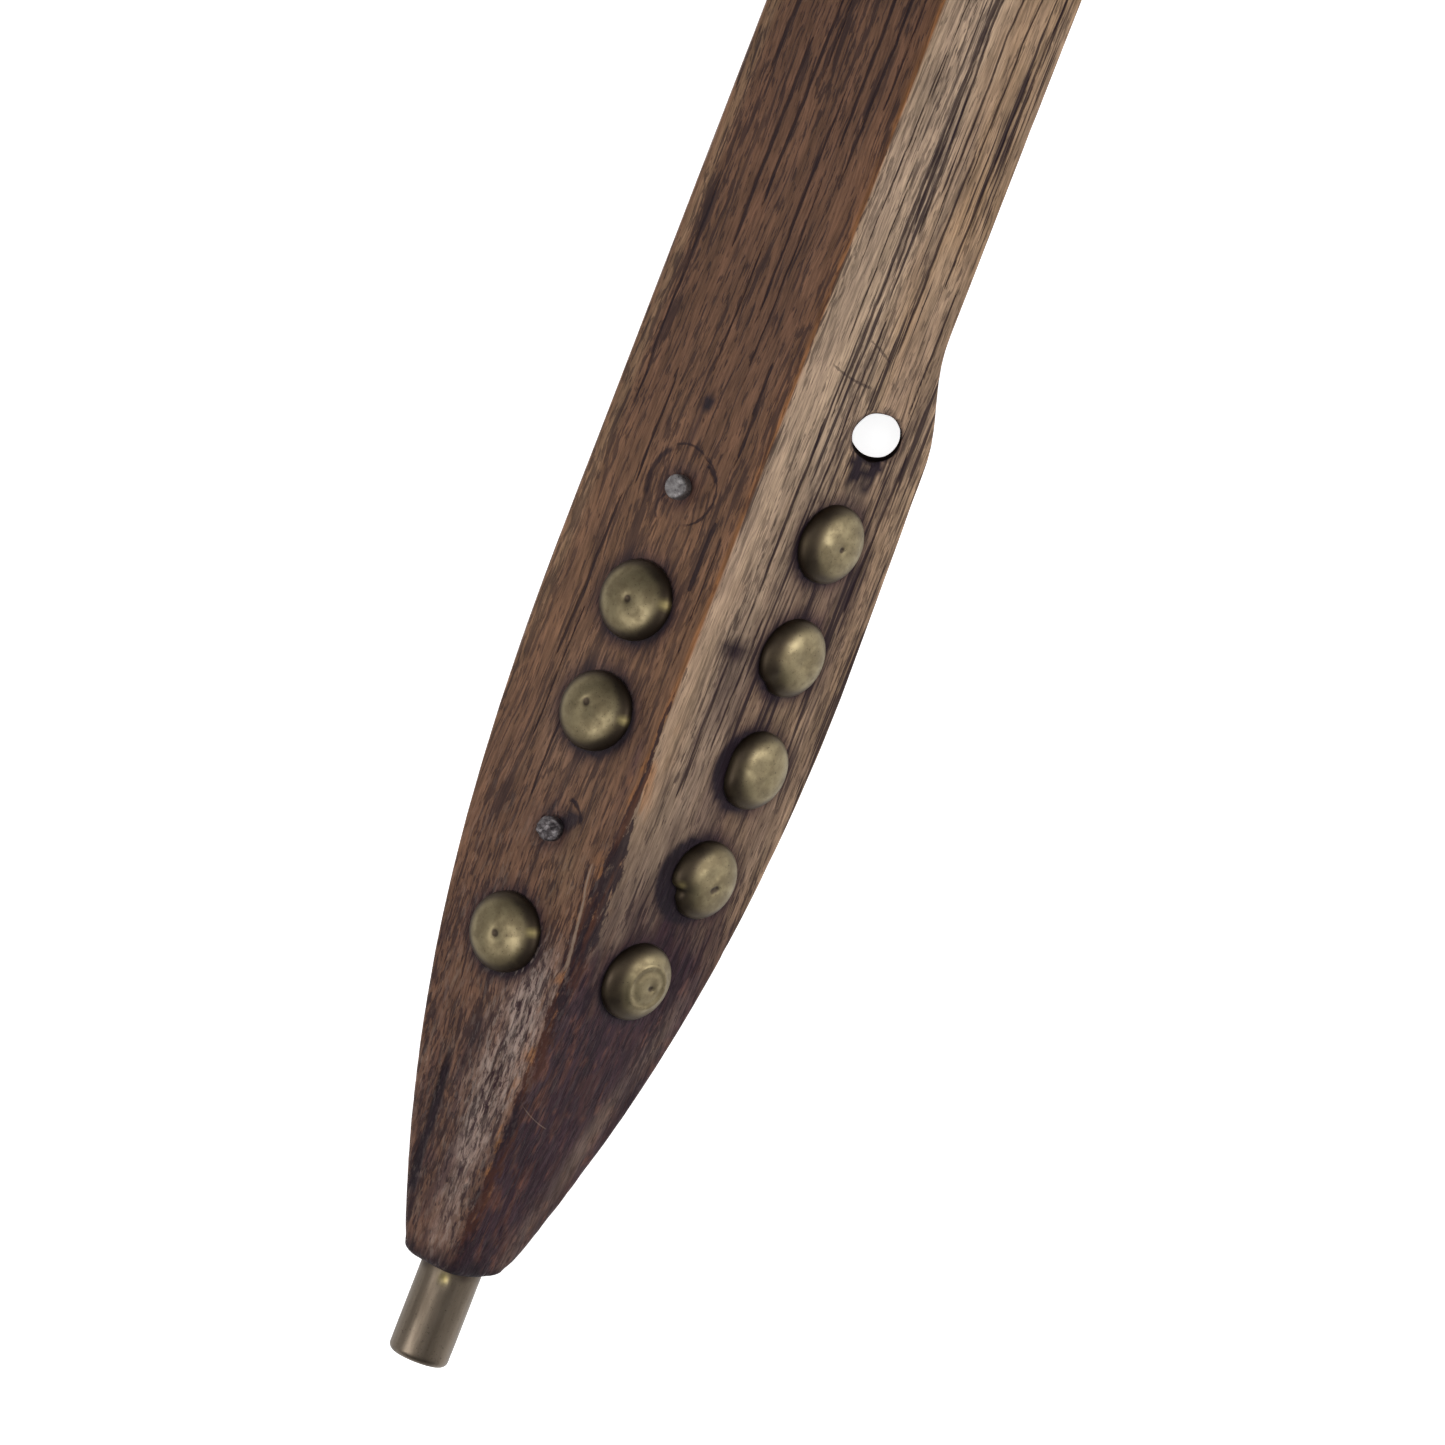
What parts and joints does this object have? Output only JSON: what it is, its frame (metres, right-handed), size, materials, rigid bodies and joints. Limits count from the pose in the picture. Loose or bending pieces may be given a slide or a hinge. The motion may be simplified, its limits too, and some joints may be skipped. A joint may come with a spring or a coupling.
{
  "type": "garden dibber",
  "caption": "Flat-backed ridged hardwood blade tapering to a round brass peg, with brass capped studs on both faces, a hanging hole and a wedged cross handle.",
  "frame": {"origin": "middle of the bounding box in X and Y, on the flat back in Z; X is zero on the ridge", "axes": "+Y runs along the tool from the brass tip to the cross handle, +Z points out of the flat back through the ridge, +X is across towards the side with the hanging hole"},
  "size_m": [0.132, 0.2914, 0.0306],
  "materials": {
    "blade_wood": "worn varnish, dark open pores",
    "handle_wood": "worn and polished by the hand",
    "wedge_wood": "planed, oiled",
    "peg_brass": "aged, dull",
    "cap_brass": "aged, worn soft",
    "pin_steel": "dull, hammered",
    "cap_fill_metal": "cast, dull"
  },
  "bodies": {
    "root": {"blade_body": "blade_wood", "tip_peg": "peg_brass", "cross_handle": "handle_wood", "handle_wedge": "wedge_wood", "handle_lock_pin": "wedge_wood", "stud_pin_l1": "pin_steel", "stud_pin_l2": "pin_steel", "stud_cap_l2": "cap_brass", "stud_fill_l2": "cap_fill_metal", "stud_pin_l3": "pin_steel", "stud_cap_l3": "cap_brass", "stud_fill_l3": "cap_fill_metal", "stud_pin_l4": "pin_steel", "stud_pin_l5": "pin_steel", "stud_cap_l5": "cap_brass", "stud_fill_l5": "cap_fill_metal", "stud_pin_r1": "pin_steel", "stud_cap_r1": "cap_brass", "stud_fill_r1": "cap_fill_metal", "stud_pin_r2": "pin_steel", "stud_cap_r2": "cap_brass", "stud_fill_r2": "cap_fill_metal", "stud_pin_r3": "pin_steel", "stud_cap_r3": "cap_brass", "stud_fill_r3": "cap_fill_metal", "stud_pin_r4": "pin_steel", "stud_cap_r4": "cap_brass", "stud_fill_r4": "cap_fill_metal", "stud_pin_r5": "pin_steel", "stud_cap_r5": "cap_brass", "stud_fill_r5": "cap_fill_metal"}
  },
  "joints": []
}
